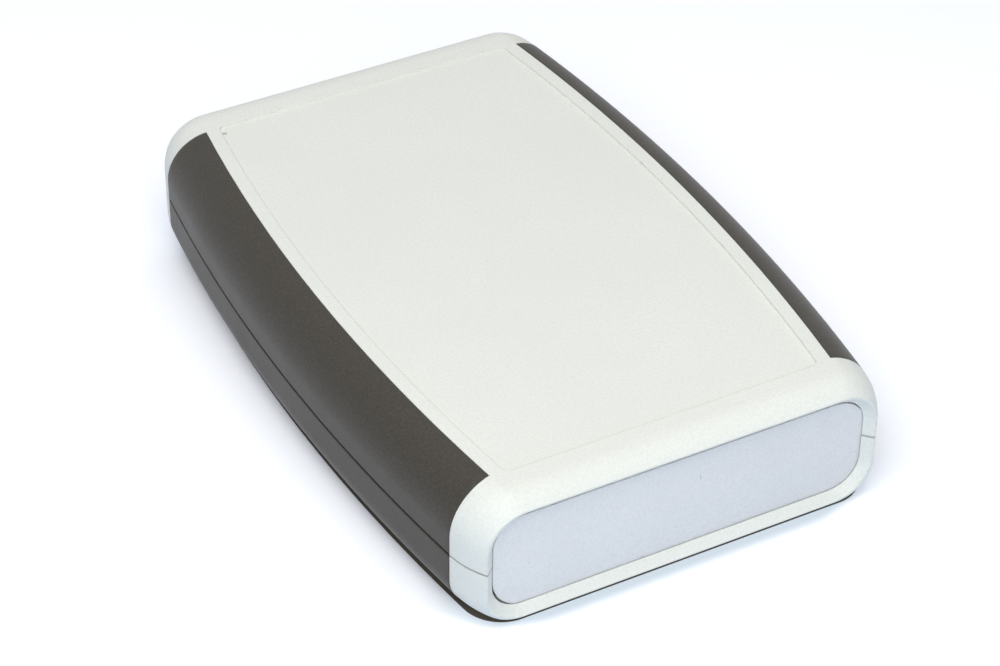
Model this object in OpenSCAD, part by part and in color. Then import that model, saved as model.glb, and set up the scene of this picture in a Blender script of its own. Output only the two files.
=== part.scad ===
// Handheld instrument case: two moulded half shells with bowed sides, soft grips moulded into both
// flanks, and a flat removable panel at each end. X is the width, Y the length, Z up, in millimetres.
// The origin is the middle of the bottom face.

/* [Case] */
// Overall length, end to end
case_l = 118.75; // [100:0.25:180]
// Greatest width, at the middle of the length
case_w = 82.85; // [72:0.05:110]
// Overall height
case_h = 24.3; // [23.3:0.1:40]
// Height of the parting line between the two half shells
parting_z = 12; // [10.5:0.25:13]
// How far each side bows out between an end bezel and the middle
side_bow = 3.65; // [2:0.05:5]
// Width of the chamfer along each edge of the parting line on the end bezels
seam_chamfer = 0.25; // [0.1:0.05:0.4]

/* [Side rounding] */
// Radius of the upper flank
upper_round = 8.8; // [8.2:0.1:10]
// Distance from the side to the edge of the flat top
top_edge = 7.4; // [6.5:0.1:8]
// Radius of the lower flank
lower_round = 6.5; // [5.5:0.1:7.5]

/* [End bezels] */
// Length of the curved bezel at each end
bezel_l = 6.6; // [6:0.05:8]
// Fine step from the flanks and the bottom in to the bezel
bezel_step = 0.05; // [0.03:0.01:0.1]
// Radius of the bezel's sides seen from above
corner_round = 14.5; // [13:0.1:18]
// Radius of the bezel's upper edge
end_top_round = 6.2; // [5.5:0.1:8]
// Length along which that edge curves down
end_top_run = 4.65; // [3:0.05:4.8]
// Radius of the bezel's lower edge
end_bottom_round = 1.5; // [1.2:0.1:2]
// Length along which that edge curves up
end_bottom_run = 1.05; // [0.6:0.05:1.1]
// Radius of the upper flank where it reaches the end of the case
end_upper_round = 7; // [5:0.25:9]

/* [Walls] */
// Thickness of the side walls behind the grips
side_wall = 1.8; // [1.4:0.1:2.2]
// Thickness of the floor, with the foot plate
floor_t = 2.5; // [2.1:0.1:2.9]
// Thickness of the roof
roof_t = 2.3; // [2:0.1:3]
// Inner radius along the upper flank
upper_inner_round = 7.5; // [5:0.25:8]
// Inner radius along the lower flank
lower_inner_round = 5; // [3:0.25:5.5]
// Thickness of the frame behind each end panel
frame_t = 1.5; // [1.2:0.1:3]

/* [Grips] */
// Thickness of the soft grips
grip_t = 1.2; // [0.8:0.1:1.6]
// Distance from the side to the lower edge of the lower grips
bottom_edge = 5.2; // [4:0.1:5.4]
// Distance at the side from the end of a grip to the curved bezel
grip_margin = 0.1; // [0.05:0.05:0.5]
// Gap between an upper and a lower grip at the parting line
grip_seam = 0.4; // [0.2:0.05:0.8]

/* [Parting lip] */
// Height of the lip that locates the top shell
lip_h = 1.2; // [0.6:0.1:2]
// Thickness of that lip
lip_t = 0.85; // [0.6:0.05:1]
// Distance from a curved bezel to the end of that lip
lip_end = 1.6; // [1:0.1:10]
// Clearance round that lip
lip_clearance = 0.12; // [0.05:0.01:0.2]

/* [Foot plate] */
// Height of the flat plate that the case stands on, set in from the outline of the bottom
foot_h = 0.5; // [0.3:0.05:0.7]
// Distance from the side to the long edge of that plate
foot_inset = 8; // [7.5:0.1:13]
// Distance from the end of the case to the end of that plate
foot_end = 4; // [3:0.1:15]
// Radius of the corners of that plate
foot_round = 3; // [1:0.1:5]

/* [Label recess] */
// Distance from the end of the case to the end of the recess in the top
label_end = 7.3; // [6.5:0.05:20]
// Distance from the side to the long edge of the recess
label_inset = 9.8; // [9:0.1:20]
// Depth of the recess
label_depth = 0.4; // [0.2:0.05:0.8]
// Radius of the corners of the recess
label_round = 1.3; // [0.5:0.1:3]

/* [End panels] */
// Distance from the side of a bezel to the opening in front of a panel
opening_side = 4.4; // [4.3:0.05:8]
// Distance from the top of the case to the opening
opening_top = 3.8; // [3.7:0.05:7]
// Distance from the bottom of the case to the opening
opening_z = 2.55; // [2.5:0.05:2.9]
// Corner radius of the opening
opening_round = 5.4; // [3:0.1:6.5]
// Depth of a panel's face behind the end of the case
panel_recess = 1.5; // [1.2:0.05:2]
// Straight land between the panel's face and the flared edge
land_l = 0.1; // [0.1:0.05:0.5]
// Thickness of a panel
panel_t = 1.6; // [1:0.1:2]
// How far a panel reaches behind the edge of its opening
panel_lap = 0.7; // [0.4:0.05:0.9]
// Clearance of a panel in its groove
panel_clearance = 0.15; // [0.05:0.05:0.25]

/* [Case screws] */
// Distance from the side of the case to a screw
screw_side = 15; // [13.5:0.25:20]
// Distance from the end of the case to a screw
screw_end = 14.75; // [12:0.25:20]
// Thread diameter of a screw
screw_d = 3; // [2.5:0.1:3.5]
// Core diameter of a screw
screw_core_d = 2.4; // [2:0.1:2.8]
// Length of a screw under its head
screw_l = 14; // [12:0.5:16]
// Diameter of a screw's head
head_d = 5.6; // [4.5:0.1:6]
// Height of a screw's head
head_h = 2.1; // [1.5:0.1:2.5]
// Height of the seat under a screw's head
seat_z = 4.7; // [3.7:0.1:5.5]
// Diameter of the posts that the screws go into
post_d = 7; // [6:0.25:8]
// Wall of the sunk tubes that the screws pass through
tube_wall = 1.2; // [1:0.1:1.6]
// Clearance round a screw's thread and head
screw_clearance = 0.3; // [0.2:0.05:0.4]
// Clearance of a screw's core in its pilot hole
pilot_clearance = 0.04; // [0.02:0.01:0.1]
// Depth of a pilot hole past the end of its screw
pilot_spare = 1; // [0.5:0.25:1.5]

/* [Board posts] */
// Distance from the side of the case to a board post
board_side = 16; // [13:0.25:25]
// Distance from the end of the case to a board post
board_end = 27.75; // [25:0.25:40]
// Diameter of a board post
board_post_d = 5.6; // [5:0.1:7]
// Height of a board post above the floor
board_post_h = 4; // [2:0.25:6]
// Diameter of the hole in a board post
board_hole_d = 2.4; // [1.8:0.1:3]

/* [Hidden] */
$fn = 96;

// Places that are worked out fall on whole micrometres, so that faces which meet share one plane
function to_micron(x) = round(x * 1000) / 1000;

// Shared places along the length
end_y = case_l / 2;
bezel_y = end_y - bezel_l;
panel_face = end_y - panel_recess;
land_y = panel_face + land_l;
groove_back = panel_face - panel_t - panel_clearance;
inner_y = groove_back - frame_t;
lip_y = bezel_y - lip_end;
label_y = end_y - label_end;
foot_y = end_y - foot_end;

// The bowed flanks turn about upright axes, one far beyond each side
half_w = case_w / 2;
bow_r = to_micron((pow(bezel_y, 2) + pow(side_bow, 2)) / (2 * side_bow));
reach = case_w + 2 * side_bow;
sweep_half = asin(0.8);
grip_half = asin((bezel_y - grip_margin) / bow_r);
bow_facets = 720;

// Centres of the flank radii, above the foot plate's face
upper_z = to_micron(case_h - sqrt(pow(upper_round, 2) - pow(upper_round - top_edge, 2)));
lower_z = foot_h + lower_round;
upper_sweep = acos((upper_round - top_edge) / upper_round);

// Bezel lofts, which carry on the turn that the flanks have reached where they start
bezel_w = half_w - side_bow - bezel_step;
bow_end = asin(bezel_y / bow_r);
loft_rings = 12;
flank_steps = 18;

// Centres of an opening's corners
opening_x = bezel_w - opening_side - opening_round;
opening_low = opening_z + opening_round;
opening_high = case_h - opening_top - opening_round;

// Inside
cavity_in = grip_t + side_wall;
roof_z = case_h - roof_t;
overlap = 0.5;
margin = 2;

// Screws and posts
seat_hole_d = head_d + 2 * screw_clearance;
tube_d = seat_hole_d + 2 * tube_wall;
screw_places = [for (sx = [-1, 1], sy = [-1, 1]) [sx * (half_w - screw_side), sy * (end_y - screw_end)]];
board_places = [for (sx = [-1, 1], sy = [-1, 1]) [sx * (half_w - board_side), sy * (end_y - board_end)]];

shell_colour = "#e6e8e4";
grip_colour = "#5b5a57";
panel_colour = "#d5dce4";
screw_colour = "#8d9095";

// Drop at y of a round of the given radius that runs as far as the end of the case
function end_drop(y, r, run) =
    let (t = max(0, y - (end_y - run)))
    r - sqrt(r * r - t * t);

// Half width of a bezel, curving in towards the end
function bezel_half_w(y) =
    let (turn = asin(sin(bow_end) + (y - bezel_y) / corner_round))
    bezel_w - corner_round * (cos(bow_end) - cos(turn));

// Share of that curve which is done at y, from 0 at the flanks to 1 at the end
function bezel_share(y) = (bezel_w - bezel_half_w(y)) / (bezel_w - bezel_half_w(end_y));

// Right half of a bezel's upper outline at y, from under the parting line to the flat top
function upper_outline(y) =
    let (w = bezel_half_w(y))
    let (across = (upper_round + (end_upper_round - upper_round) * bezel_share(y)) / cos(bow_end))
    let (sweep = upper_sweep + (90 - upper_sweep) * bezel_share(y))
    let (rise = (case_h - end_drop(y, end_top_round, end_top_run) - upper_z) / sin(sweep))
    concat(
        [[w - seam_chamfer - overlap, parting_z - overlap], [w, parting_z + seam_chamfer]],
        [for (k = [0 : flank_steps])
            [w - across + across * cos(sweep * k / flank_steps), upper_z + rise * sin(sweep * k / flank_steps)]]
    );

// Right half of a bezel's lower outline at y, from over the parting line to the flat bottom
function lower_outline(y) =
    let (w = bezel_half_w(y))
    let (across = lower_round / cos(bow_end))
    let (fall = lower_round - bezel_step - end_drop(y, end_bottom_round, end_bottom_run))
    concat(
        [[w - seam_chamfer - overlap, parting_z + overlap], [w, parting_z - seam_chamfer]],
        [for (k = [0 : flank_steps])
            [w - across + across * cos(90 * k / flank_steps), lower_z - fall * sin(90 * k / flank_steps)]]
    );

// A right half outline with its mirror image, as one closed loop
function both_halves(half) =
    concat(half, [for (k = [len(half) - 1 : -1 : 0]) [-half[k][0], half[k][1]]]);

// A loop that runs the other way round
function turned_round(loop) = [for (k = [len(loop) - 1 : -1 : 0]) loop[k]];

// Solid through a list of closed loops, each placed at its own y and running from +X up over Z
module loft(loops, places) {
    n = len(loops[0]);
    last = len(loops) - 1;
    polyhedron(
        points = [for (i = [0 : last], p = loops[i]) [p[0], places[i], p[1]]],
        faces = concat(
            [[for (k = [n - 1 : -1 : 0]) k]],
            [for (i = [0 : last - 1], k = [0 : n - 1]) [i * n + k, i * n + (k + 1) % n, (i + 1) * n + k]],
            [for (i = [0 : last - 1], k = [0 : n - 1])
                [i * n + (k + 1) % n, (i + 1) * n + (k + 1) % n, (i + 1) * n + k]],
            [[for (k = [0 : n - 1]) last * n + k]]
        )
    );
}

// Places of the loft's rings, closer together towards the end of the case
function ring_places() = [for (i = [0 : loft_rings]) bezel_y + bezel_l * sin(90 * i / loft_rings)];

// Rear bezel above the parting line
module upper_bezel() {
    loft([for (y = ring_places()) both_halves(upper_outline(y))], ring_places());
}

// Rear bezel below the parting line
module lower_bezel() {
    loft([for (y = ring_places()) turned_round(both_halves(lower_outline(y)))], ring_places());
}

// The same thing at both ends of the case
module both_ends() {
    children();
    mirror([0, 1, 0]) children();
}

// Cross-section of one flank, with the side at x = 0 and set in by the given amount
module flank_section(inset) {
    translate([-reach, foot_h]) square([reach - upper_round, case_h - foot_h]);
    translate([-upper_round, lower_z]) square([upper_round - inset, upper_z - lower_z]);
    translate([-upper_round, foot_h]) square([upper_round - lower_round, lower_round]);
    intersection() {
        translate([-upper_round, upper_z]) circle(upper_round - inset);
        translate([-upper_round, upper_z]) square([upper_round, case_h - upper_z]);
    }
    intersection() {
        translate([-lower_round, lower_z]) circle(lower_round - inset);
        translate([-lower_round, foot_h]) square(lower_round);
    }
}

// Cross-section of the hollow inside
module cavity_section() {
    upper_x = cavity_in + upper_inner_round;
    lower_x = cavity_in + lower_inner_round;
    upper_c = roof_z - upper_inner_round;
    lower_c = floor_t + lower_inner_round;
    translate([-reach, floor_t]) square([reach - upper_x, roof_z - floor_t]);
    translate([-upper_x, lower_c]) square([upper_inner_round, upper_c - lower_c]);
    translate([-upper_x, floor_t]) square([upper_x - lower_x, lower_inner_round]);
    intersection() {
        translate([-upper_x, upper_c]) circle(upper_inner_round);
        translate([-upper_x, upper_c]) square(upper_inner_round);
    }
    intersection() {
        translate([-lower_x, lower_c]) circle(lower_inner_round);
        translate([-lower_x, floor_t]) square(lower_inner_round);
    }
}

// The part of a section that lies above or below z
module section_above(z) {
    intersection() {
        children();
        translate([-reach, z]) square([reach, case_h]);
    }
}

module section_below(z) {
    intersection() {
        children();
        translate([-reach, z - case_h]) square([reach, case_h]);
    }
}

// A section of the right flank, swept along its bow by the given angle both ways
module right_sweep(half_angle = sweep_half) {
    translate([half_w - bow_r, 0, 0])
        rotate([0, 0, -half_angle])
            rotate_extrude(angle = 2 * half_angle, $fn = bow_facets)
                translate([bow_r, 0]) children();
}

// Everything between two opposite flanks of the same section, as far as y both ways
module between_flanks(y) {
    intersection() {
        translate([-case_w, -y, -margin]) cube([2 * case_w, 2 * y, case_h + 2 * margin]);
        right_sweep() children();
        mirror([1, 0, 0]) right_sweep() children();
    }
}

// A strip of the right flank, as far as y both ways
module right_strip(y) {
    intersection() {
        translate([0, -y, -margin]) cube([case_w, 2 * y, case_h + 2 * margin]);
        right_sweep() children();
    }
}

// Rounded opening of an end panel, grown on all sides and then raised at its lower edge
module opening_shape(grow, lift = 0) {
    r = opening_round + grow;
    low = opening_low + lift;
    translate([-opening_x - r, low]) square([2 * (opening_x + r), opening_high - low]);
    translate([-opening_x, low - r]) square([2 * opening_x, opening_high - low + 2 * r]);
    for (cx = [-opening_x, opening_x], cz = [low, opening_high])
        translate([cx, cz]) circle(r);
}

// A flat shape stood upright across the case, from y to y + depth
module upright(y, depth) {
    translate([0, y + depth, 0])
        rotate([90, 0, 0])
            linear_extrude(depth) children();
}

// Flared edge of an opening, which widens at 45 degrees from within the land to beyond the end
module end_flare() {
    back = land_y - overlap;
    front = end_y + margin;
    depth = front - back;
    r = opening_round - overlap;
    for (cx = [-opening_x, opening_x], cz = [opening_low, opening_high])
        translate([cx, front, cz])
            rotate([90, 0, 0])
                cylinder(r1 = r + depth, r2 = r, h = depth);
    x = opening_x + r;
    translate([0, 0, opening_low])
        linear_extrude(opening_high - opening_low)
            polygon([[-x, back], [x, back], [x + depth, front], [-x - depth, front]]);
    low = opening_low - r;
    high = opening_high + r;
    translate([-opening_x, 0, 0])
        rotate([90, 0, 90])
            linear_extrude(2 * opening_x)
                polygon([[back, low], [front, low - depth], [front, high + depth], [back, high]]);
}

// What is cut out of an end: the opening, the groove of its panel and the flared edge
module end_cuts() {
    upright(inner_y - overlap, land_y - inner_y + 2 * overlap)
        opening_shape(0);
    upright(groove_back, panel_face - groove_back)
        opening_shape(panel_lap + panel_clearance, panel_clearance);
    end_flare();
}

// Space inside the case, with the openings at both ends
module hollow() {
    between_flanks(inner_y) cavity_section();
    both_ends() end_cuts();
}

// Flat shape with long sides that bow like the flanks, and rounded corners that touch those sides
module bowed_shape(inset, y, r) {
    bow = bow_r - inset;
    cy = y - r;
    cx = to_micron(half_w - bow_r + sqrt(bow * bow - cy * cy) - r);
    intersection() {
        translate([-case_w, -cy]) square([2 * case_w, 2 * cy]);
        translate([half_w - bow_r, 0]) circle(bow, $fn = bow_facets);
        translate([bow_r - half_w, 0]) circle(bow, $fn = bow_facets);
    }
    translate([-cx, -y]) square([2 * cx, 2 * y]);
    for (sx = [-cx, cx], sy = [-cy, cy])
        translate([sx, sy]) circle(r);
}

// Shallow recess in the top for a label
module label_recess() {
    translate([0, 0, case_h - label_depth])
        linear_extrude(margin) bowed_shape(label_inset, label_y, label_round);
}

// Plate that lifts the outline of the bottom off the table
module foot_plate() {
    linear_extrude(foot_h + overlap) bowed_shape(foot_inset, foot_y, foot_round);
}

// Everything on the far side of the parting line from the given shell
module beyond_parting(low) {
    translate([-case_w, -case_l, low]) cube([2 * case_w, 2 * case_l, case_h]);
}

// Lip along both sides of the parting line, or with a clearance the rebate that takes it
module parting_lip(clearance) {
    for (side = [0, 1])
        mirror([side, 0, 0])
            right_strip(lip_y + clearance)
                translate([-cavity_in - overlap, parting_z - overlap])
                    square([lip_t + overlap + clearance, lip_h + overlap + clearance]);
}

// What the two grips of a half shell are set into, given the section outside their inner faces
module grip_recesses() {
    for (side = [0, 1])
        mirror([side, 0, 0])
            right_sweep(grip_half)
                difference() {
                    children();
                    flank_section(grip_t);
                }
}

module top_shell() {
    color(shell_colour) {
        difference() {
            union() {
                between_flanks(bezel_y)
                    section_above(parting_z - overlap) flank_section(0);
                both_ends() upper_bezel();
            }
            grip_recesses()
                translate([-top_edge, parting_z - overlap]) square([top_edge + margin, case_h]);
            hollow();
            label_recess();
            parting_lip(lip_clearance);
            beyond_parting(parting_z - case_h);
        }
        screw_posts();
    }
}

// Posts under the roof that take the screws
module screw_posts() {
    pilot_l = seat_z + screw_l + pilot_spare - parting_z;
    for (p = screw_places)
        translate([p[0], p[1], parting_z])
            difference() {
                cylinder(d = post_d, h = roof_z - parting_z + overlap);
                translate([0, 0, -overlap])
                    cylinder(d = screw_core_d + 2 * pilot_clearance, h = pilot_l + overlap);
            }
}

module bottom_shell() {
    color(shell_colour)
        difference() {
            union() {
                difference() {
                    union() {
                        between_flanks(bezel_y)
                            section_below(parting_z + overlap) flank_section(0);
                        both_ends() lower_bezel();
                    }
                    grip_recesses()
                        translate([-bottom_edge, parting_z + overlap - case_h])
                            square([bottom_edge + margin, case_h]);
                    hollow();
                    beyond_parting(parting_z);
                }
                lips();
                foot_plate();
                for (p = screw_places)
                    translate([p[0], p[1], floor_t - overlap])
                        cylinder(d = tube_d, h = parting_z - floor_t + overlap);
                for (p = board_places)
                    translate([p[0], p[1], floor_t - overlap])
                        cylinder(d = board_post_d, h = board_post_h + overlap);
            }
            screw_holes();
            for (p = board_places)
                translate([p[0], p[1], floor_t])
                    cylinder(d = board_hole_d, h = board_post_h + overlap);
        }
}

// The lip itself, kept to the wall that it stands on
module lips() {
    difference() {
        parting_lip(0);
        between_flanks(inner_y) cavity_section();
    }
}

// Clearance holes and sunk seats of the screws
module screw_holes() {
    for (p = screw_places)
        translate([p[0], p[1], 0]) {
            translate([0, 0, -margin])
                cylinder(d = seat_hole_d, h = seat_z + margin);
            cylinder(d = screw_d + 2 * screw_clearance, h = parting_z + margin);
        }
}

// Soft grip above the parting line on the right side
module upper_grip() {
    low = parting_z + grip_seam / 2;
    right_sweep(grip_half)
        difference() {
            intersection() {
                flank_section(0);
                translate([-top_edge, low]) square([top_edge + margin, case_h]);
            }
            flank_section(grip_t);
        }
}

// Soft grip below the parting line on the right side
module lower_grip() {
    high = parting_z - grip_seam / 2;
    right_sweep(grip_half)
        difference() {
            intersection() {
                flank_section(0);
                translate([-bottom_edge, high - case_h]) square([bottom_edge + margin, case_h]);
            }
            flank_section(grip_t);
        }
}

module upper_left_grip() {
    color(grip_colour) mirror([1, 0, 0]) upper_grip();
}

module upper_right_grip() {
    color(grip_colour) upper_grip();
}

module lower_left_grip() {
    color(grip_colour) mirror([1, 0, 0]) lower_grip();
}

module lower_right_grip() {
    color(grip_colour) lower_grip();
}

// Flat panel that stands in the grooves of one end
module end_panel() {
    upright(panel_face - panel_t, panel_t)
        opening_shape(panel_lap);
}

module front_end_panel() {
    color(panel_colour) mirror([0, 1, 0]) end_panel();
}

module rear_end_panel() {
    color(panel_colour) end_panel();
}

module case_screws() {
    color(screw_colour)
        for (p = screw_places)
            translate([p[0], p[1], seat_z]) {
                translate([0, 0, -head_h]) cylinder(d = head_d, h = head_h);
                cylinder(d = screw_core_d, h = screw_l);
            }
}

top_shell();
bottom_shell();
upper_left_grip();
upper_right_grip();
lower_left_grip();
lower_right_grip();
front_end_panel();
rear_end_panel();
case_screws();
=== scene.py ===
"""Looks of a handheld instrument case: moulded shells, soft grips, end panels and case screws."""
import functools
import math
from collections import namedtuple

import bmesh
import bpy
import numpy as np
from bpy.props import FloatProperty, FloatVectorProperty, PointerProperty
from mathutils import Matrix, Vector


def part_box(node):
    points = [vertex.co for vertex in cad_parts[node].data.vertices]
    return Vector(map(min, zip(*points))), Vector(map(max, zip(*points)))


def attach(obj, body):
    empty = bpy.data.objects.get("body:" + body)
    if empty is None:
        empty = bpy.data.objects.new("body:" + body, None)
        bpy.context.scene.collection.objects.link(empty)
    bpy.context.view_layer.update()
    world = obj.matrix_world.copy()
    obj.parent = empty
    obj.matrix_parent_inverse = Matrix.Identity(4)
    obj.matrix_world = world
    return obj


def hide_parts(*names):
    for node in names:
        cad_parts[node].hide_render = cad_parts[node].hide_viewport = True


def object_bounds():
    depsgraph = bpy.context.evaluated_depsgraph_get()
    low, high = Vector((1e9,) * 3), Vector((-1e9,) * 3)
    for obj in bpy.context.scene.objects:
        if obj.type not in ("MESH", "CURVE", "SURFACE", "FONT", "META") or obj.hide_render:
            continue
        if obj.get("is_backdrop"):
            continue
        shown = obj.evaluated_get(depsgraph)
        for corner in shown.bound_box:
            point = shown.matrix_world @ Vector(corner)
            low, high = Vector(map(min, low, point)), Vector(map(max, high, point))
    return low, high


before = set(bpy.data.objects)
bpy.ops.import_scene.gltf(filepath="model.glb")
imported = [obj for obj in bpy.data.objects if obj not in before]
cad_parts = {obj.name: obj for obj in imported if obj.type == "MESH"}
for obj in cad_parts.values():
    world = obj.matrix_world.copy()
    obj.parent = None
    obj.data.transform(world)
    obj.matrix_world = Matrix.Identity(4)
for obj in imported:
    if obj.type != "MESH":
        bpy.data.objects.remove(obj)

bl_info = {
    "name": "Handheld case",
    "version": (1, 0, 0),
    "blender": (4, 5, 0),
    "location": "View3D > Sidebar > Case",
    "description": "Builds the looks of a handheld instrument case around its CAD frame",
    "category": "Object",
}

MM = 0.001

# Boxes of the CAD frame
CAD_LOW, CAD_HIGH = (Vector(corner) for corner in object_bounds())
UPPER_LOW, UPPER_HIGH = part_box("upper_right_grip")
LOWER_LOW, LOWER_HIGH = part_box("lower_right_grip")
PANEL_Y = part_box("front_end_panel")[0].y
SCREW_LOW, SCREW_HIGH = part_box("case_screws")
SEAM_Z = (UPPER_LOW.z + LOWER_HIGH.z) / 2

# Meshes
WELD_DISTANCE = 0.0004 * MM
DRAWN_CREASE = math.radians(35)
SCREW_CREASE = math.radians(30)

# Steps and points of the drawn outlines
FLANK_STEPS = 40
FLANK_FOOT_POINTS = 12
HIDDEN_STEPS = 30
HIDDEN_FOOT_POINTS = 6
EDGE_POINTS = 7
JOINT_POINTS = 5
ROUNDING_POINTS = 5
BOW_POINTS = 97
PANEL_CORNER_STEPS = 14
GROUND_SIDE_STEPS = 24
GROUND_CORNER_STEPS = 16

# Screws, as shares of the head's diameter or height
HEAD_TAPER = 0.22
HEAD_TAPER_POWER = 4.0
SLOT_LENGTH = 0.56
SLOT_WIDTH = 0.13
SLOT_DROP = -0.45

# Finishes: limits of a grain's values, the dark tones of marks, and the painted shade along the
# parting line's groove
GRAIN_ROUGHNESS = 0.6
GRAIN_RANGE = (0.35, 0.75)
CLOUD_RANGE = (0.35, 0.7)
DULL_RANGE = (0.4, 0.75)
BEVEL_SAMPLES = 6
MARK_CORE = 0.45
# painted shade: tone, strength and width of the darkening along the parting line, standing in for
# the shadow in its groove
SEAM_SHADE_TONE = (0.2, 0.18, 0.15)
SEAM_SHADE_STRENGTH = 0.65
SEAM_SHADE_RANGE = (0.1 * MM, 0.26 * MM)
SPECK_TONE = (0.36, 0.33, 0.25)
SMUDGE_TONE = (0.3, 0.28, 0.23)
HAIR_TONE = (0.3, 0.3, 0.3)

# Small marks, as in the photograph: centre and half lengths in millimetres, turn in radians
Mark = namedtuple("Mark", "centre reach turn", defaults=[(0.0, 0.0, 0.0)])
SPECKS = (Mark((-27.66, 50.18, 23.9), (0.62, 0.45, 0.5)),)
SMUDGES = (
    Mark((31.26, 8.61, 24.3), (0.5, 0.9, 0.5)),
    Mark((-12.57, -50.85, 24.2), (0.3, 0.3, 0.4)),
)
HAIRS = (
    Mark((3.4, PANEL_Y / MM, 15.0), (0.14, 0.4, 0.75), (0.0, -0.22, 0.0)),
    Mark((-6.5, PANEL_Y / MM, 2.75), (0.5, 0.4, 0.16), (0.0, 0.3, 0.0)),
    Mark((-26.87, PANEL_Y / MM, 10.05), (0.16, 0.4, 0.16)),
)

# Stage, in metres: a lamp's power names its studio setting, and the floor fades to white
Lamp = namedtuple("Lamp", "name power place target size tint")
LAMPS = (
    Lamp("soft_box", "box", (-0.05, -0.1, 0.55), (0, 0, 0), 1.1, (1.0, 0.97, 0.87)),
    Lamp("top_lamp", "lamp", (-0.14, -0.18, 0.42), (0, 0, 0), 0.45, (1.0, 0.985, 0.96)),
    Lamp("front_lamp", "fill", (-0.25, -0.6, 0.3), (0, 0, 0.01), 0.5, (0.74, 0.9, 1.0)),
)
WHITE = (1.0, 1.0, 1.0)
SKY_TINT = (0.9, 0.96, 1.1)
FLOOR_TINT = (0.985, 0.99, 1.03)
FLOOR_HALF = 1.6
FLOOR_FADE = (0.16, 0.5)
GROUND_LIFT = 0.02 * MM
GROUND_SHIFT_POWER = 6
PHOTO_WIDTH = 1000
SENSOR_WIDTH = 36.0
CLIP_START, CLIP_END = 0.01, 20.0


def length(name, description, millimetres):
    """A length property"""
    return FloatProperty(
        name=name, description=description, default=millimetres * MM, unit="LENGTH", precision=5
    )


def angle(name, description, degrees):
    """An angle property"""
    return FloatProperty(
        name=name, description=description, default=math.radians(degrees), subtype="ANGLE"
    )


def power(name, description, watts):
    """A property for the power of a lamp"""
    return FloatProperty(name=name, description=description, default=watts, unit="POWER")


def number(name, description, default):
    """A plain number property"""
    return FloatProperty(name=name, description=description, default=default)


def colour(name, description, red, green, blue):
    """A colour property, written as 0 to 255 on the screen's scale"""
    value = [srgb_to_linear(channel / 255) for channel in (red, green, blue)]
    return FloatVectorProperty(
        name=name, description=description, default=value, size=3, subtype="COLOR", min=0.0, max=1.0
    )


def srgb_to_linear(value):
    """A channel of a screen colour, as an amount of light"""
    return value / 12.92 if value <= 0.04045 else ((value + 0.055) / 1.055) ** 2.4


class CaseSizes(bpy.types.PropertyGroup):
    """Sizes of the pieces that are drawn here; left and right of a panel are seen from outside"""

    crease: angle("Crease", "Edges of a moulding that turn further than this stay crisp", 17)
    bow_round: length("Bow radius", "Radius of the bowed sides, seen from above", 383.359)
    grip_t: length("Grip thickness", "Thickness of the soft grips", 1.2)
    upper_round: length("Upper flank", "Radius of the upper flank", 8.8)
    lower_round: length("Lower flank", "Radius of the lower flank", 6.5)
    upper_edge: length("Upper grip edge", "Distance from the side to an upper grip's edge", 7.4)
    lower_edge: length("Lower grip edge", "Distance from the side to a lower grip's edge", 5.2)
    grip_edge: length("Grip edge", "How far the rounding of a grip's edges reaches", 0.22)
    panel_round: length("Panel corner", "Radius of a panel's lower right corner", 6.1)
    key_round: length("Panel key", "Radius of a panel's lower left corner", 6.7)
    left_round: length("Panel left", "Radius of a panel's upper left corner", 5.2)
    slack_round: length("Panel slack", "Radius of a panel's upper right corner", 6.3)
    panel_slip: length("Panel slip", "Distance of a panel's left edge from its groove's end", 0.95)
    panel_back: length("Panel set-back", "Play by which a panel stands back in its groove", 0.12)
    panel_drop: length("Panel drop", "Distance of a panel's upper edge from its groove's top", 1.14)
    panel_edge: length("Panel edge", "How far the rounding of a panel's edges reaches", 0.15)
    shade_side: length("Shade side", "Distance of the dark ground from the sides, from above", 2.4)
    shade_shift: length("Shade shift", "Growth of the dark ground at the near right corner", 1.4)
    shade_end: length("Shade end", "Distance of the dark ground from the ends, from above", 0.55)
    shade_round: length("Shade corner", "Corner radius of the dark ground", 7)
    fringe_round: length("Fringe corner", "Corner radius of the blue shade before the case", 14)
    fringe_near: length("Fringe start", "Distance from the case where the blue shade fades", 0.2)
    fringe_far: length("Fringe end", "Distance from the case where the blue shade ends", 3.5)
    head_d: length("Head diameter", "Diameter of a screw's head", 5.6)
    head_h: length("Head height", "Height of a screw's head", 2.1)
    core_d: length("Core diameter", "Diameter of a screw under its thread", 2.4)
    thread_d: length("Thread diameter", "Diameter over a screw's thread", 3.0)
    pitch: length("Pitch", "Distance from one turn of the thread to the next", 1.3)


class CaseColours(bpy.types.PropertyGroup):
    """Colours of the finishes and of the floor"""

    shell: colour("Shell", "Off-white moulded plastic", 233, 234, 226)
    grip: colour("Grip", "Dark soft plastic of the grips", 41, 37, 30)
    panel: colour("Panel", "Pale grey plastic of the end panels", 234, 232, 230)
    screw: colour("Screw", "Plated steel of the screws", 176, 178, 180)
    floor: colour("Floor", "Light that the floor throws back at the case", 211, 223, 242)
    # painted shade: colour of the dark sheet under the case, which stands in for its shadow
    shade: colour("Shade", "Floor right under the case", 102, 93, 83)
    fringe: colour("Fringe", "Blue shade on the floor in front of the case", 211, 223, 233)


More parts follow.
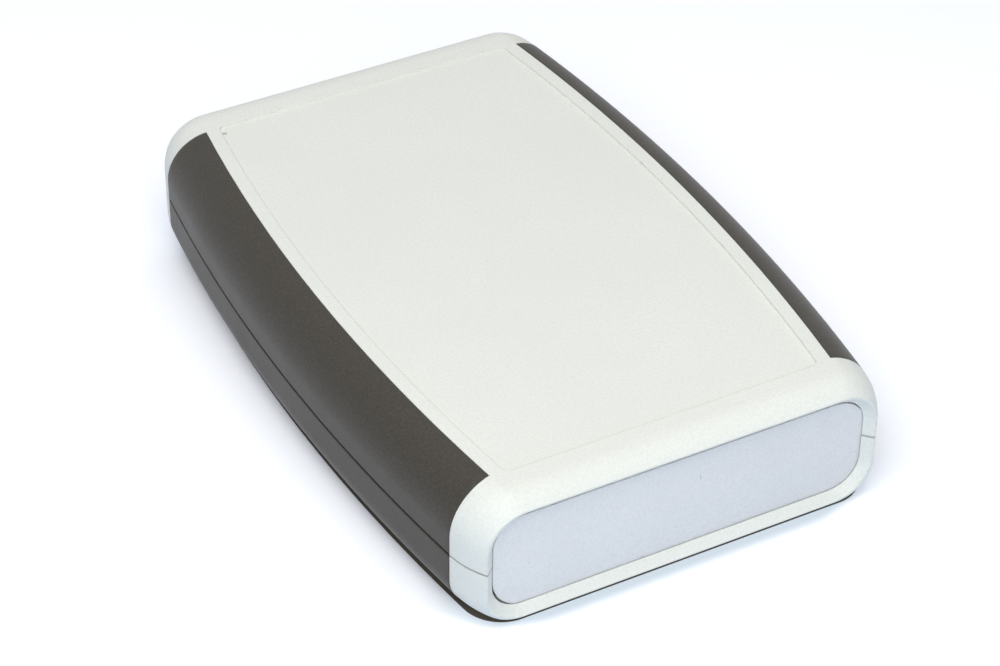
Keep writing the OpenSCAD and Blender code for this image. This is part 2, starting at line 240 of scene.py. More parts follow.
class CaseStudio(bpy.types.PropertyGroup):
    """Camera and light of the stage"""

    azimuth: angle("Azimuth", "Direction of the camera round the case", -28.852)
    elevation: angle("Elevation", "Height of the camera above the floor, as an angle", 37.88)
    roll: angle("Roll", "Tilt of the camera about its own line of sight", 0.658)
    distance: length("Distance", "Distance of the camera along its line of sight", 528.362)
    shift_right: length("Shift right", "Distance of the origin right of the line of sight", 0.379)
    shift_down: length("Shift down", "Distance of the origin below the line of sight", 3.739)
    focal_pixels: number("Focal length", "Focal length in pixels of a picture 1000 wide", 3109.516)
    sky: number("Sky", "Strength of the even light from all round", 0.35)
    box: power("Box", "Power of the large soft box overhead", 1.75)
    lamp: power("Lamp", "Power of the lamp above the near left corner", 1.15)
    fill: power("Fill", "Power of the soft lamp in front of the case", 0.93)
    floor_white: number("Floor white", "How bright the camera sees the floor", 1.2)


class Flow:
    """A value that runs through shader nodes; arithmetic on it adds Math nodes"""

    def __init__(self, owner, socket):
        self.owner = owner
        self.socket = socket

    def maths(self, operation, first, second):
        return self.owner.node("ShaderNodeMath", {"operation": operation}, {0: first, 1: second})

    def __add__(self, other):
        return self.maths("ADD", self, other)

    def __radd__(self, other):
        return self.maths("ADD", other, self)

    def __sub__(self, other):
        return self.maths("SUBTRACT", self, other)

    def __rsub__(self, other):
        return self.maths("SUBTRACT", other, self)

    def __mul__(self, other):
        return self.maths("MULTIPLY", self, other)

    def __rmul__(self, other):
        return self.maths("MULTIPLY", other, self)

    def at_least(self, other):
        return self.maths("MAXIMUM", self, other)

    def size(self):
        return self.maths("ABSOLUTE", self, 0.0)

    def between(self, low, high):
        """0 below low, 1 above high and smooth in between"""
        return self.owner.node(
            "ShaderNodeMapRange",
            {"interpolation_type": "SMOOTHSTEP"},
            {"Value": self, "From Min": low, "From Max": high, "To Min": 0.0, "To Max": 1.0},
        )


class ShaderNodes:
    """The nodes of a material or of the world, under construction"""

    def __init__(self, tree):
        self.tree = tree

    def node(self, kind, settings=None, sockets=None, out=0):
        made = self.tree.nodes.new(kind)
        for key, value in (settings or {}).items():
            setattr(made, key, value)
        for key, value in (sockets or {}).items():
            self.feed(made.inputs[key], value)
        return Flow(self, made.outputs[out])

    def feed(self, socket, value):
        if isinstance(value, Flow):
            self.tree.links.new(value.socket, socket)
        else:
            socket.default_value = value

    def seen_directly(self):
        """1 for rays from the camera, from a reflection or through glass, else 0"""
        rays = ("Is Camera Ray", "Is Glossy Ray", "Is Transmission Ray")
        paths = [self.node("ShaderNodeLightPath", out=ray) for ray in rays]
        return functools.reduce(Flow.at_least, paths)

    def replace_shader(self, surface):
        """Puts another shader in the place of the one that a new tree has"""
        kinds = ("OUTPUT_MATERIAL", "OUTPUT_WORLD")
        socket = next(n for n in self.tree.nodes if n.type in kinds).inputs["Surface"]
        self.tree.nodes.remove(socket.links[0].from_node)
        self.feed(socket, surface)


class Finish(ShaderNodes):
    """A material and the nodes that give it its detail"""

    def __init__(self, name):
        self.material = bpy.data.materials.new(name)
        self.material.use_nodes = True
        super().__init__(self.material.node_tree)

    def shade(self, **sockets):
        """Values and links of the shader's own sockets, with spaces written as underscores"""
        shader = next(n for n in self.tree.nodes if n.type == "BSDF_PRINCIPLED")
        for key, value in sockets.items():
            self.feed(shader.inputs[key.replace("_", " ")], value)

    def place(self):
        return self.node("ShaderNodeTexCoord", out="Object")

    def along(self, axis):
        """Place along one axis of the object"""
        return self.node("ShaderNodeSeparateXYZ", {}, {"Vector": self.place()}, out=axis)

    def distance(self, vector):
        """Length of a vector"""
        settings = {"operation": "LENGTH"}
        return self.node("ShaderNodeVectorMath", settings, {0: vector}, out="Value")

    def grain(self, place, size, detail):
        """Noise from 0 to 1 whose grains are about the given size"""
        return self.node(
            "ShaderNodeTexNoise",
            {},
            {"Vector": place, "Scale": 1 / size, "Detail": detail, "Roughness": GRAIN_ROUGHNESS},
        )

    def blend(self, share, first, second):
        """Colour that goes from first to second as share goes from 0 to 1"""
        return self.node(
            "ShaderNodeMix",
            {"data_type": "RGBA"},
            {0: share, 6: opaque(first), 7: opaque(second)},
            out=2,
        )

    def spot(self, place, mark):
        """Mask of a small mark: 1 at its centre and 0 outside its ellipsoid"""
        local = self.node(
            "ShaderNodeMapping",
            {"vector_type": "TEXTURE"},
            {
                "Vector": place,
                "Location": Vector(mark.centre) * MM,
                "Rotation": mark.turn,
                "Scale": Vector(mark.reach) * MM,
            },
        )
        return 1 - self.distance(local).between(MARK_CORE, 1.0)

    def stain(self, tone, place, marks, dark, strength):
        """The tone, with marks of a dark tone on it"""
        masks = [self.spot(place, mark) for mark in marks]
        return self.blend(functools.reduce(Flow.at_least, masks) * strength, tone, dark)

    def bump(self, height, depth, under=None):
        """Normal of a surface with the given relief, on top of another normal if there is one"""
        sockets = {"Height": height, "Distance": depth, "Strength": 1.0}
        if under is not None:
            sockets["Normal"] = under
        return self.node("ShaderNodeBump", {}, sockets)

    def soft_edges(self, radius):
        """Normal that rounds the edges off"""
        return self.node("ShaderNodeBevel", {"samples": BEVEL_SAMPLES}, {"Radius": radius})


def opaque(value):
    """A colour with its alpha"""
    return value if isinstance(value, Flow) else (*value[:3], 1.0)


def scaled(value, factor, most=1.0):
    """A colour times a factor, with no channel above the given most"""
    return tuple(min(most, channel * factor) for channel in value)


def shell_finish(colours):
    """Off-white plastic with a fine moulded texture, painted shade along the parting line's groove
    and a few small marks
    """
    finish = Finish("moulded_shell")
    shell = colours.shell
    place = finish.place()
    texture = finish.grain(place, size=0.42 * MM, detail=3.0)
    cloud = finish.grain(place, size=26 * MM, detail=2.0)
    tone = finish.blend(cloud.between(*CLOUD_RANGE), scaled(shell, 0.985), scaled(shell, 1.012))
    tone = finish.blend(texture.between(*GRAIN_RANGE), tone, scaled(shell, 0.92))
    # painted shade: the shell darkens along the parting line, where its groove lies in shade
    off_seam = (finish.along("Z") - SEAM_Z).size()
    seam = SEAM_SHADE_STRENGTH - off_seam.between(*SEAM_SHADE_RANGE) * SEAM_SHADE_STRENGTH
    tone = finish.blend(seam, tone, SEAM_SHADE_TONE)
    tone = finish.stain(tone, place, SPECKS, SPECK_TONE, strength=0.75)
    tone = finish.stain(tone, place, SMUDGES, SMUDGE_TONE, strength=0.35)
    soft = finish.soft_edges(radius=0.16 * MM)
    finish.shade(
        Base_Color=tone,
        Roughness=0.47 + cloud * 0.08 - texture * 0.05,
        Normal=finish.bump(texture, depth=0.010 * MM, under=soft),
        Specular_IOR_Level=0.36,
    )
    return finish.material


def grip_finish(colours):
    """Dark soft plastic, matt and finely pitted, with a faint bloom"""
    finish = Finish("soft_grip")
    grip = colours.grip
    place = finish.place()
    pits = finish.grain(place, size=0.34 * MM, detail=3.0)
    bloom = finish.grain(place, size=9 * MM, detail=3.0)
    tone = finish.blend(bloom.between(*GRAIN_RANGE), scaled(grip, 0.94), scaled(grip, 1.08))
    tone = finish.blend(pits.between(*GRAIN_RANGE), tone, scaled(grip, 2.1))
    finish.shade(
        Base_Color=tone,
        Roughness=0.46 + bloom * 0.12,
        Normal=finish.bump(pits, depth=0.016 * MM),
        Specular_IOR_Level=0.42,
        Sheen_Weight=0.06,
        Sheen_Roughness=0.5,
    )
    return finish.material


def panel_finish(colours):
    """Pale grey satin sheet with a very fine texture, two hairs and a dot"""
    finish = Finish("end_panel_sheet")
    panel = colours.panel
    place = finish.place()
    texture = finish.grain(place, size=0.3 * MM, detail=2.0)
    cloud = finish.grain(place, size=14 * MM, detail=2.0)
    tone = finish.blend(cloud.between(*CLOUD_RANGE), scaled(panel, 0.985), scaled(panel, 1.01))
    tone = finish.blend(texture.between(*GRAIN_RANGE), tone, scaled(panel, 0.91))
    tone = finish.stain(tone, place, HAIRS, HAIR_TONE, strength=0.5)
    finish.shade(
        Base_Color=tone,
        Roughness=0.45 + cloud * 0.1,
        Normal=finish.bump(texture, depth=0.006 * MM),
        Specular_IOR_Level=0.4,
    )
    return finish.material


def screw_finish(colours):
    """Plated steel, slightly dulled"""
    finish = Finish("plated_steel")
    dull = finish.grain(finish.place(), size=1.2 * MM, detail=3.0)
    tone = finish.blend(dull.between(*DULL_RANGE), scaled(colours.screw, 0.82), colours.screw)
    finish.shade(
        Base_Color=tone,
        Metallic=1.0,
        Roughness=0.26 + dull * 0.2,
        Normal=finish.bump(dull, depth=0.004 * MM),
    )
    return finish.material


def mesh_object(name, points, faces, material, crease):
    """An object at the origin whose edges are smooth up to the crease angle"""
    mesh = bpy.data.meshes.new(name)
    mesh.from_pydata([tuple(p) for p in points], [], [tuple(f) for f in faces])
    mesh.validate()
    mesh.materials.append(material)
    mesh.shade_smooth()
    mesh.set_sharp_from_angle(angle=crease)
    made = bpy.data.objects.new(name, mesh)
    bpy.context.scene.collection.objects.link(made)
    return made


def moulding(node, name, material, crease):
    """A welded copy of a CAD node, with its rounded faces shaded smooth"""
    work = bmesh.new()
    work.from_mesh(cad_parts[node].data)
    bmesh.ops.remove_doubles(work, verts=work.verts, dist=WELD_DISTANCE)
    points = [v.co.copy() for v in work.verts]
    faces = [[v.index for v in f.verts] for f in work.faces]
    work.free()
    made = mesh_object(name, points, faces, material, crease)
    flat = made.modifiers.new("flat faces stay flat", "WEIGHTED_NORMAL")
    flat.keep_sharp = True
    flat.mode = "FACE_AREA"
    return made


def settle(piece, node):
    """Puts a finished piece in the place of its CAD node"""
    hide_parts(node)
    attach(piece, "root")


def cut_back(line, reach):
    """A line of points without the first part of its length"""
    steps = np.linalg.norm(np.diff(line, axis=0), axis=1)
    first = int(np.searchsorted(np.cumsum(steps), reach))
    done = steps[:first].sum()
    start = line[first] + (line[first + 1] - line[first]) * (reach - done) / steps[first]
    return np.vstack([start, line[first + 1:]])


def rounded_joint(before, after, reach):
    """Two lines that meet in a corner, joined by a curve that starts and ends at reach from it"""
    corner = after[0]
    before = cut_back(before[::-1], reach)[::-1]
    after = cut_back(after, reach)
    share = np.linspace(0, 1, JOINT_POINTS + 2)[1:-1, None]
    bend = (1 - share) ** 2 * before[-1] + 2 * share * (1 - share) * corner + share ** 2 * after[0]
    return before, bend, after


def arc(centre, radius, start, end, steps):
    """Points along an arc, from one angle to another in degrees"""
    turn = np.radians(np.linspace(start, end, steps + 1))
    return np.stack([centre[0] + radius * np.cos(turn), centre[1] + radius * np.sin(turn)], axis=1)


def grip_profile(sizes, upper):
    """Loop of points round a grip, as distance in from the side and height above the floor"""
    sign, radius, edge_in, seam, rim_z = (
        (1, sizes.upper_round, sizes.upper_edge, UPPER_LOW.z, UPPER_HIGH.z)
        if upper
        else (-1, sizes.lower_round, sizes.lower_edge, LOWER_HIGH.z, LOWER_LOW.z)
    )
    centre_z = rim_z - sign * math.sqrt(radius ** 2 - (radius - edge_in) ** 2)
    inner = radius - sizes.grip_t
    outer_turn = math.degrees(math.acos((radius - edge_in) / radius))
    inner_turn = math.degrees(math.acos((radius - edge_in) / inner))
    outer = arc((radius, centre_z), radius, 180, 180 - sign * outer_turn, FLANK_STEPS)
    outer = np.vstack([np.linspace([0, seam], outer[0], FLANK_FOOT_POINTS)[:-1], outer])
    hidden = arc((radius, centre_z), inner, 180 - sign * inner_turn, 180, HIDDEN_STEPS)
    hidden_foot = np.linspace(hidden[-1], [sizes.grip_t, seam], HIDDEN_FOOT_POINTS)
    hidden = np.vstack([hidden, hidden_foot[1:]])
    rim = np.linspace(outer[-1], hidden[0], EDGE_POINTS)
    foot = np.linspace(hidden[-1], outer[0], EDGE_POINTS)
    outer, bend_top, rim = rounded_joint(outer, rim, sizes.grip_edge)
    foot, bend_foot, outer = rounded_joint(foot, outer, sizes.grip_edge)
    return np.vstack([outer, bend_top, rim[:-1], hidden[:-1], foot, bend_foot])


def drawn_in(loop, amount):
    """The loop moved inwards by the given amount"""
    along = np.roll(loop, -1, axis=0) - np.roll(loop, 1, axis=0)
    along /= np.linalg.norm(along, axis=1, keepdims=True)
    across = np.stack([along[:, 1], -along[:, 0]], axis=1)
    area = np.sum(loop[:, 0] * np.roll(loop[:, 1], -1) - np.roll(loop[:, 0], -1) * loop[:, 1])
    return loop - across * amount * np.sign(area)


def bands(rings, count):
    """Quads between neighbouring rings of the same number of points, and a face over each end"""
    faces = []
    for i in range(rings - 1):
        for k in range(count):
            n = (k + 1) % count
            faces.append((i * count + k, i * count + n, (i + 1) * count + n, (i + 1) * count + k))
    faces.append(tuple(range(count - 1, -1, -1)))
    faces.append(tuple((rings - 1) * count + k for k in range(count)))
    return faces


def outward(points, faces):
    """The faces, turned round if they enclose a negative volume"""
    corners = np.asarray(points)
    volume = 0.0
    for face in faces:
        for k in range(1, len(face) - 1):
            volume += np.dot(corners[face[0]], np.cross(corners[face[k]], corners[face[k + 1]]))
    return faces if volume > 0 else [tuple(reversed(face)) for face in faces]


def soft_grip(name, sizes, upper, side, material):
    """A grip swept along the bow of its side, with rounded edges and ends"""
    bow, edge = sizes.bow_round, sizes.grip_edge
    loop = grip_profile(sizes, upper)
    end = bow * math.asin(UPPER_HIGH.y / bow)
    turns = np.radians(np.linspace(0, 90, ROUNDING_POINTS))[:-1]
    far = [(end - edge + edge * math.cos(t), edge * (1 - math.sin(t))) for t in turns]
    middle = [(run, 0.0) for run in np.linspace(end - edge, edge - end, BOW_POINTS)]
    stations = far + middle + [(-run, drawn) for run, drawn in reversed(far)]
    points = []
    for run, drawn in stations:
        for inset, z in drawn_in(loop, drawn):
            x = CAD_HIGH.x - bow + (bow - inset) * math.cos(run / bow)
            points.append((side * x, (bow - inset) * math.sin(run / bow), z))
    faces = outward(points, bands(len(stations), len(loop)))
    return mesh_object(name, points, faces, material, DRAWN_CREASE)


def rounded_rectangle(left, right, bottom, top, radii):
    """Loop of points round a rectangle; the radii are those of its corners from lower right on"""
    corners = ((right, bottom), (right, top), (left, top), (left, bottom))
    inwards = ((-1, 1), (-1, -1), (1, -1), (1, 1))
    arcs = []
    for k, ((x, z), (way_x, way_z), radius) in enumerate(zip(corners, inwards, radii)):
        centre = (x + way_x * radius, z + way_z * radius)
        arcs.append(arc(centre, radius, 90 * k - 90, 90 * k, PANEL_CORNER_STEPS))
    return np.vstack(arcs)


def end_panel(name, node, sizes, material):
    """A flat panel with soft edges, loose in its groove: dark gaps show round its top and left"""
    low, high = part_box(node)
    left, right = low.x + sizes.panel_slip, high.x
    radii = (sizes.panel_round, sizes.slack_round, sizes.left_round, sizes.key_round)
    if low.y > 0:
        left, right = low.x, high.x - sizes.panel_slip
        radii = radii[::-1]
    loop = rounded_rectangle(left, right, low.z, high.z - sizes.panel_drop, radii)
    edge = sizes.panel_edge
    back = math.copysign(sizes.panel_back, -low.y)
    front = [
        (low.y + back + edge * (1 - math.sin(t)), edge * (1 - math.cos(t)))
        for t in np.radians(np.linspace(90, 0, ROUNDING_POINTS))
    ]
    rear = [(low.y + high.y + 2 * back - y, drawn) for y, drawn in reversed(front)]
    points = [(x, y, z) for y, drawn in front + rear for x, z in drawn_in(loop, drawn)]
    faces = outward(points, bands(len(front + rear), len(loop)))
    return mesh_object(name, points, faces, material, DRAWN_CREASE)


class Tree:
    """A geometry node tree under construction"""

    def __init__(self, name):
        self.group = bpy.data.node_groups.new(name, "GeometryNodeTree")
        self.socket("Geometry", "OUTPUT", "NodeSocketGeometry")
        self.given = self.group.nodes.new("NodeGroupInput")
        self.result = self.group.nodes.new("NodeGroupOutput")

    def socket(self, name, way, kind):
        return self.group.interface.new_socket(name, in_out=way, socket_type=kind)

    def size(self, name, default):
        """A length that the tree takes in"""
        socket = self.socket(name, "INPUT", "NodeSocketFloat")
        socket.subtype = "DISTANCE"
        socket.default_value = default
        return self.given.outputs[name]

    def add(self, kind, settings=None, sockets=None, out=0):
        made = self.group.nodes.new(kind)
        for key, value in (settings or {}).items():
            setattr(made, key, value)
        for key, value in (sockets or {}).items():
            for one in value if isinstance(value, list) else [value]:
                if isinstance(one, bpy.types.NodeSocket):
                    self.group.links.new(one, made.inputs[key])
                else:
                    made.inputs[key].default_value = one
        return made.outputs[out]

    def maths(self, operation, first, second):
        return self.add("ShaderNodeMath", {"operation": operation}, {0: first, 1: second})

    def times(self, value, factor):
        return self.maths("MULTIPLY", value, factor)

    def vector(self, **parts):
        return self.add("ShaderNodeCombineXYZ", {}, parts)

    def lifted(self, geometry, height):
        """The geometry, moved up"""
        sockets = {"Geometry": geometry, "Translation": self.vector(Z=height)}
        return self.add("GeometryNodeTransform", {}, sockets)

    def cylinder(self, **sockets):
        sockets = {key.replace("_", " "): value for key, value in sockets.items()}
        return self.add("GeometryNodeMeshCylinder", {"fill_type": "NGON"}, sockets)

    def finish(self, geometry):
        self.group.links.new(geometry, self.result.inputs[0])
        return self.group


def screw_head(tree, head_d, head_h):
    """A head under the seat, narrower towards its outer face, with a cross cut into that face"""
    head = tree.cylinder(
        Vertices=48, Side_Segments=6, Fill_Segments=1, Radius=tree.times(head_d, 0.5), Depth=head_h
    )
    place = tree.add("GeometryNodeInputPosition")
    height = tree.add("ShaderNodeSeparateXYZ", {}, {0: place}, out="Z")
    depth = tree.maths("SUBTRACT", 0.5, tree.maths("DIVIDE", height, head_h))
    taper = tree.times(tree.maths("POWER", depth, HEAD_TAPER_POWER), HEAD_TAPER)
    narrow = tree.maths("SUBTRACT", 1.0, taper)
    squeeze = tree.vector(X=narrow, Y=narrow, Z=1.0)
    domed = tree.add("ShaderNodeVectorMath", {"operation": "MULTIPLY"}, {0: place, 1: squeeze})
    head = tree.add("GeometryNodeSetPosition", {}, {"Geometry": head, "Position": domed})
    slot_l = tree.times(head_d, SLOT_LENGTH)
    slot_w = tree.times(head_d, SLOT_WIDTH)
    cuts = []
    for x, y in ((slot_l, slot_w), (slot_w, slot_l)):
        cut = tree.add("GeometryNodeMeshCube", {}, {"Size": tree.vector(X=x, Y=y, Z=head_h)})
        cuts.append(tree.lifted(cut, tree.times(head_h, SLOT_DROP)))
    head = tree.add("GeometryNodeMeshBoolean", {"operation": "DIFFERENCE"}, {0: head, 1: cuts})
    return tree.lifted(head, tree.times(head_h, -0.5))


def screw_thread(tree, core_d, thread_d, pitch, shank):
    """A sharp ridge wound round the core"""
    ridge = tree.times(tree.maths("SUBTRACT", thread_d, core_d), 0.5)
    run = tree.maths("SUBTRACT", shank, pitch)
    radius = tree.maths("SUBTRACT", tree.times(thread_d, 0.5), ridge)
    helix = tree.add(
        "GeometryNodeCurveSpiral",
        {},
        {
            "Resolution": 24,
            "Rotations": tree.maths("DIVIDE", run, pitch),
            "Start Radius": radius,
            "End Radius": radius,
            "Height": run,
        },
    )
    edge = tree.add(
        "GeometryNodeCurvePrimitiveCircle", {"mode": "RADIUS"}, {"Resolution": 3, "Radius": ridge}
    )
    thread = tree.add(
        "GeometryNodeCurveToMesh", {}, {"Curve": helix, "Profile Curve": edge, "Fill Caps": True}
    )
    return tree.lifted(thread, tree.times(pitch, 0.5))


def screw_tree(material, values):
    """Four cross-head screws, head down, at the corners of a rectangle"""
    tree = Tree("case screw places")
    given = {name: tree.size(name, value) for name, value in values.items()}
    core_d, shank = given["Core diameter"], given["Length"]
    head = screw_head(tree, given["Head diameter"], given["Head height"])
    core = tree.cylinder(
        Vertices=24, Side_Segments=1, Radius=tree.times(core_d, 0.5), Depth=shank
    )
    core = tree.lifted(core, tree.times(shank, 0.5))
    thread = screw_thread(tree, core_d, given["Thread diameter"], given["Pitch"], shank)
    screw = tree.add("GeometryNodeJoinGeometry", {}, {0: [thread, core, head]})
    rectangle = {"Size X": given["Across"], "Size Y": given["Along"]}
    places = tree.add("GeometryNodeMeshGrid", {}, {**rectangle, "Vertices X": 2, "Vertices Y": 2})
    places = tree.lifted(places, given["Seat height"])
    screws = tree.add("GeometryNodeInstanceOnPoints", {}, {"Points": places, "Instance": screw})
    screws = tree.add("GeometryNodeRealizeInstances", {}, {"Geometry": screws})
    screws = tree.add("GeometryNodeSetMaterial", {}, {"Geometry": screws, "Material": material})
    return tree.finish(screws)


def run_tree(name, group, values):
    """Runs a geometry node tree once and keeps its result as a plain mesh"""
    maker = bpy.data.objects.new(name, bpy.data.meshes.new(name + "_start"))
    bpy.context.scene.collection.objects.link(maker)
    modifier = maker.modifiers.new("build", "NODES")
    modifier.node_group = group
    for item in group.interface.items_tree:
        if item.in_out == "INPUT":
            modifier[item.identifier] = values[item.name]
    bpy.context.view_layer.update()
    graph = bpy.context.evaluated_depsgraph_get()
    mesh = bpy.data.meshes.new_from_object(
        maker.evaluated_get(graph), preserve_all_data_layers=True, depsgraph=graph
    )
    if not mesh.polygons:
        raise RuntimeError(f"{name}: the tree made no faces")
    maker.modifiers.remove(modifier)
    maker.data = mesh
    return maker


class CASE_OT_shells(bpy.types.Operator):
    """Welded, smooth mouldings of the two half shells"""

    bl_idname = "handheld_case.shells"
    bl_label = "Half shells"

    def execute(self, context):
        sizes = context.scene.case_sizes
        finish = shell_finish(context.scene.case_colours)
        for node, name in (("top_shell", "top_moulding"), ("bottom_shell", "bottom_moulding")):
            settle(moulding(node, name, finish, sizes.crease), node)
        return {"FINISHED"}


class CASE_OT_grips(bpy.types.Operator):
    """Soft grips along both sides, above and below the parting line"""

    bl_idname = "handheld_case.grips"
    bl_label = "Soft grips"

    def execute(self, context):
        sizes = context.scene.case_sizes
        finish = grip_finish(context.scene.case_colours)
        for upper in (True, False):
            for side in (-1, 1):
                node = f"{'upper' if upper else 'lower'}_{'left' if side < 0 else 'right'}_grip"
                settle(soft_grip("soft_" + node, sizes, upper, side, finish), node)
        return {"FINISHED"}


class CASE_OT_end_panels(bpy.types.Operator):
    """Flat panels that close both ends"""

    bl_idname = "handheld_case.end_panels"
    bl_label = "End panels"

    def execute(self, context):
        sizes = context.scene.case_sizes
        finish = panel_finish(context.scene.case_colours)
        names = {"front_end_panel": "front_panel_sheet", "rear_end_panel": "rear_panel_sheet"}
        for node, name in names.items():
            settle(end_panel(name, node, sizes, finish), node)
        return {"FINISHED"}


class CASE_OT_screws(bpy.types.Operator):
    """Cross-head screws in the four sunk holes of the bottom shell"""

    bl_idname = "handheld_case.screws"
    bl_label = "Case screws"

    def execute(self, context):
        sizes = context.scene.case_sizes
        values = {
            "Across": SCREW_HIGH.x - SCREW_LOW.x - sizes.head_d,
            "Along": SCREW_HIGH.y - SCREW_LOW.y - sizes.head_d,
            "Head diameter": sizes.head_d,
            "Head height": sizes.head_h,
            "Core diameter": sizes.core_d,
            "Thread diameter": sizes.thread_d,
            "Pitch": sizes.pitch,
            "Length": SCREW_HIGH.z - SCREW_LOW.z - sizes.head_h,
            "Seat height": SCREW_LOW.z + sizes.head_h,
        }
        group = screw_tree(screw_finish(context.scene.case_colours), values)
        screws = run_tree("cross_head_screws", group, values)
        screws.data.shade_smooth()
        screws.data.set_sharp_from_angle(angle=SCREW_CREASE)
        settle(screws, "case_screws")
        return {"FINISHED"}


def soft_lamp(lamp, watts):
    """A square area lamp that points at its target"""
    light = bpy.data.lights.new(lamp.name, "AREA")
    light.shape = "SQUARE"
    light.size = lamp.size
    light.energy = watts
    light.color = lamp.tint
    made = bpy.data.objects.new(lamp.name, light)
    bpy.context.scene.collection.objects.link(made)
    sight = Vector(lamp.target) - Vector(lamp.place)
    turn = sight.to_track_quat("-Z", "Y").to_matrix().to_4x4()
    made.matrix_world = Matrix.Translation(lamp.place) @ turn


def shaded_ground(sizes):
    """Loop of points round the ground that the case keeps dark: its outline from above, drawn in"""
    corner = sizes.shade_round
    side = sizes.bow_round - sizes.shade_side
    middle = CAD_HIGH.x - sizes.bow_round
    end_turn = math.asin((CAD_HIGH.y - sizes.shade_end - corner) / (side - corner))
    reach = side - corner
    centre = (middle + reach * math.cos(end_turn), reach * math.sin(end_turn))
    turn = math.degrees(end_turn)
    along_side = arc((middle, 0), side, 0, turn, GROUND_SIDE_STEPS)
    round_corner = arc(centre, corner, turn, 90, GROUND_CORNER_STEPS)
    quarter = np.vstack([along_side[:-1], round_corner])
    half = np.vstack([quarter, (quarter * (-1, 1))[:0:-1]])
    loop = np.vstack([half, -half])
    nearness = np.clip(-loop[:, 1] / CAD_HIGH.y, 0, 1) ** GROUND_SHIFT_POWER
    loop[:, 0] += sizes.shade_shift * nearness * (loop[:, 0] > 0)
    return loop


def front_shade(finish, sizes):
    """Mask of the floor right in front of the case: 1 at its edge, 0 a few millimetres off"""
    x, y = finish.along("X"), finish.along("Y")
    corner = sizes.fringe_round
    bowed_in = y * y * (0.5 / sizes.bow_round)
    aside = (x.size() + bowed_in - (CAD_HIGH.x - corner)).at_least(0.0)
    ahead = (CAD_LOW.y + corner - y).at_least(0.0)
    away = finish.node("ShaderNodeCombineXYZ", {}, {"X": aside, "Y": ahead})
    distance = finish.distance(away) - corner
    fade = distance.between(sizes.fringe_near, sizes.fringe_far)
    return ahead.between(0.0, corner) * (1 - fade)


def floor_finish(sizes, colours, brightness):
    """Pale floor that the camera sees brighter than it lights the case, white further off"""
    finish = Finish("pale_floor")

    def shader(kind, value):
        return finish.node(kind, {}, {"Color": opaque(value)})

    def mix(share, first, second):
        return finish.node("ShaderNodeMixShader", {}, {0: share, 1: first, 2: second})

    bounced = shader("ShaderNodeBsdfDiffuse", colours.floor)
    near = shader("ShaderNodeBsdfDiffuse", scaled(FLOOR_TINT, brightness, math.inf))
    blue = shader("ShaderNodeEmission", colours.fringe)
    far = shader("ShaderNodeEmission", WHITE)
    near = mix(front_shade(finish, sizes), near, blue)
    seen = mix(finish.distance(finish.place()).between(*FLOOR_FADE), near, far)
    finish.replace_shader(mix(finish.seen_directly(), bounced, seen))
    return finish.material


def ground_finish(colours):
    """Painted shade: a dark sheet just above the floor, right under the case"""
    finish = Finish("ground_in_shade")
    finish.shade(Base_Color=opaque(colours.shade), Roughness=1.0, Specular_IOR_Level=0.0)
    return finish.material


def studio_floor(sizes, colours, brightness):
    """A large pale square, and just above it a dark sheet of painted shade where the case keeps the
    light off
    """
    square = ((-1, -1), (1, -1), (1, 1), (-1, 1))
    corners = [(x * FLOOR_HALF, y * FLOOR_HALF, CAD_LOW.z) for x, y in square]
    ground = [(x, y, CAD_LOW.z + GROUND_LIFT) for x, y in shaded_ground(sizes)]
    faces = [(0, 1, 2, 3), tuple(range(4, 4 + len(ground)))]
    mesh = bpy.data.meshes.new("studio_floor")
    mesh.from_pydata(corners + ground, [], faces)
    mesh.polygons[1].material_index = 1
    mesh.materials.append(floor_finish(sizes, colours, brightness))
    mesh.materials.append(ground_finish(colours))
    floor = bpy.data.objects.new("studio_floor", mesh)
    bpy.context.scene.collection.objects.link(floor)
    floor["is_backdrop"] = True


def studio_sky(strength):
    """Even light from all round, which the camera sees as white"""
    world = bpy.data.worlds.new("studio_sky")
    bpy.context.scene.world = world
    world.use_nodes = True
    sky = ShaderNodes(world.node_tree)
    light = sky.node("ShaderNodeBackground", {}, {"Color": opaque(SKY_TINT), "Strength": strength})
    white = sky.node("ShaderNodeBackground", {}, {"Color": opaque(WHITE)})
    mix = sky.node("ShaderNodeMixShader", {}, {0: sky.seen_directly(), 1: light, 2: white})
    sky.replace_shader(mix)


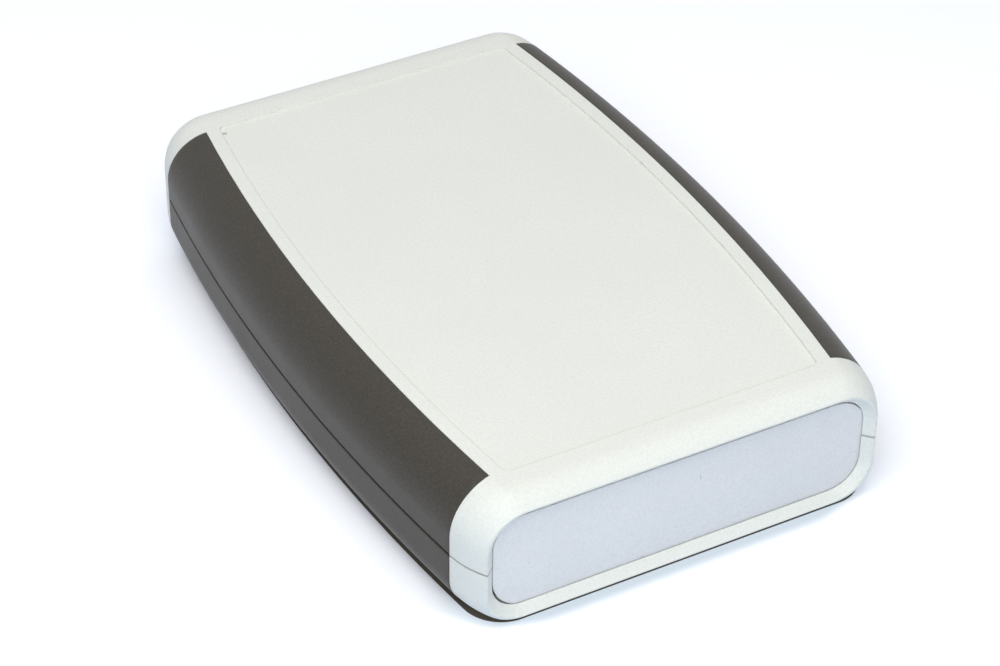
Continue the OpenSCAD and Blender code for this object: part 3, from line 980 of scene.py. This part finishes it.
def studio_camera(studio):
    """Camera at the angle and distance of the photograph"""
    azimuth, level = studio.azimuth, math.cos(studio.elevation)
    back = Vector(
        (math.sin(azimuth) * level, -math.cos(azimuth) * level, math.sin(studio.elevation))
    )
    right = (-back).cross(Vector((0, 0, 1))).normalized()
    down = (-back).cross(right)
    turn_cos, turn_sin = math.cos(studio.roll), math.sin(studio.roll)
    right, down = turn_cos * right - turn_sin * down, turn_sin * right + turn_cos * down
    place = back * studio.distance - right * studio.shift_right - down * studio.shift_down
    data = bpy.data.cameras.new("studio_camera")
    data.sensor_fit = "HORIZONTAL"
    data.sensor_width = SENSOR_WIDTH
    data.lens = studio.focal_pixels * SENSOR_WIDTH / PHOTO_WIDTH
    data.clip_start = CLIP_START
    data.clip_end = CLIP_END
    camera = bpy.data.objects.new("studio_camera", data)
    bpy.context.scene.collection.objects.link(camera)
    axes = Matrix((right, -down, back)).transposed().to_4x4()
    camera.matrix_world = Matrix.Translation(place) @ axes
    bpy.context.scene.camera = camera


class CASE_OT_stage(bpy.types.Operator):
    """Pale floor, soft studio light and the camera"""

    bl_idname = "handheld_case.stage"
    bl_label = "Stage"

    def execute(self, context):
        scene = context.scene
        studio = scene.case_studio
        studio_floor(scene.case_sizes, scene.case_colours, studio.floor_white)
        studio_sky(studio.sky)
        for lamp in LAMPS:
            soft_lamp(lamp, getattr(studio, lamp.power))
        studio_camera(studio)
        scene.view_settings.view_transform = "Standard"
        return {"FINISHED"}


OPERATORS = (CASE_OT_shells, CASE_OT_grips, CASE_OT_end_panels, CASE_OT_screws, CASE_OT_stage)


class CASE_PT_build(bpy.types.Panel):
    """Buttons for the pieces of the case, and their sizes, colours and light"""

    bl_idname = "CASE_PT_build"
    bl_label = "Handheld case"
    bl_space_type = "VIEW_3D"
    bl_region_type = "UI"
    bl_category = "Case"

    def draw(self, context):
        for operator in OPERATORS:
            self.layout.operator(operator.bl_idname)
        scene = context.scene
        for group in (scene.case_sizes, scene.case_colours, scene.case_studio):
            box = self.layout.box()
            for name in group.bl_rna.properties.keys():
                if name not in ("rna_type", "name"):
                    box.prop(group, name)


CLASSES = (CaseSizes, CaseColours, CaseStudio, *OPERATORS, CASE_PT_build)


def register():
    for one in CLASSES:
        bpy.utils.register_class(one)
    bpy.types.Scene.case_sizes = PointerProperty(type=CaseSizes)
    bpy.types.Scene.case_colours = PointerProperty(type=CaseColours)
    bpy.types.Scene.case_studio = PointerProperty(type=CaseStudio)


def unregister():
    del bpy.types.Scene.case_studio
    del bpy.types.Scene.case_colours
    del bpy.types.Scene.case_sizes
    for one in reversed(CLASSES):
        bpy.utils.unregister_class(one)


def main():
    register()
    bpy.ops.handheld_case.shells()
    bpy.ops.handheld_case.grips()
    bpy.ops.handheld_case.end_panels()
    bpy.ops.handheld_case.screws()
    bpy.ops.handheld_case.stage()


if __name__ == "__main__":
    main()
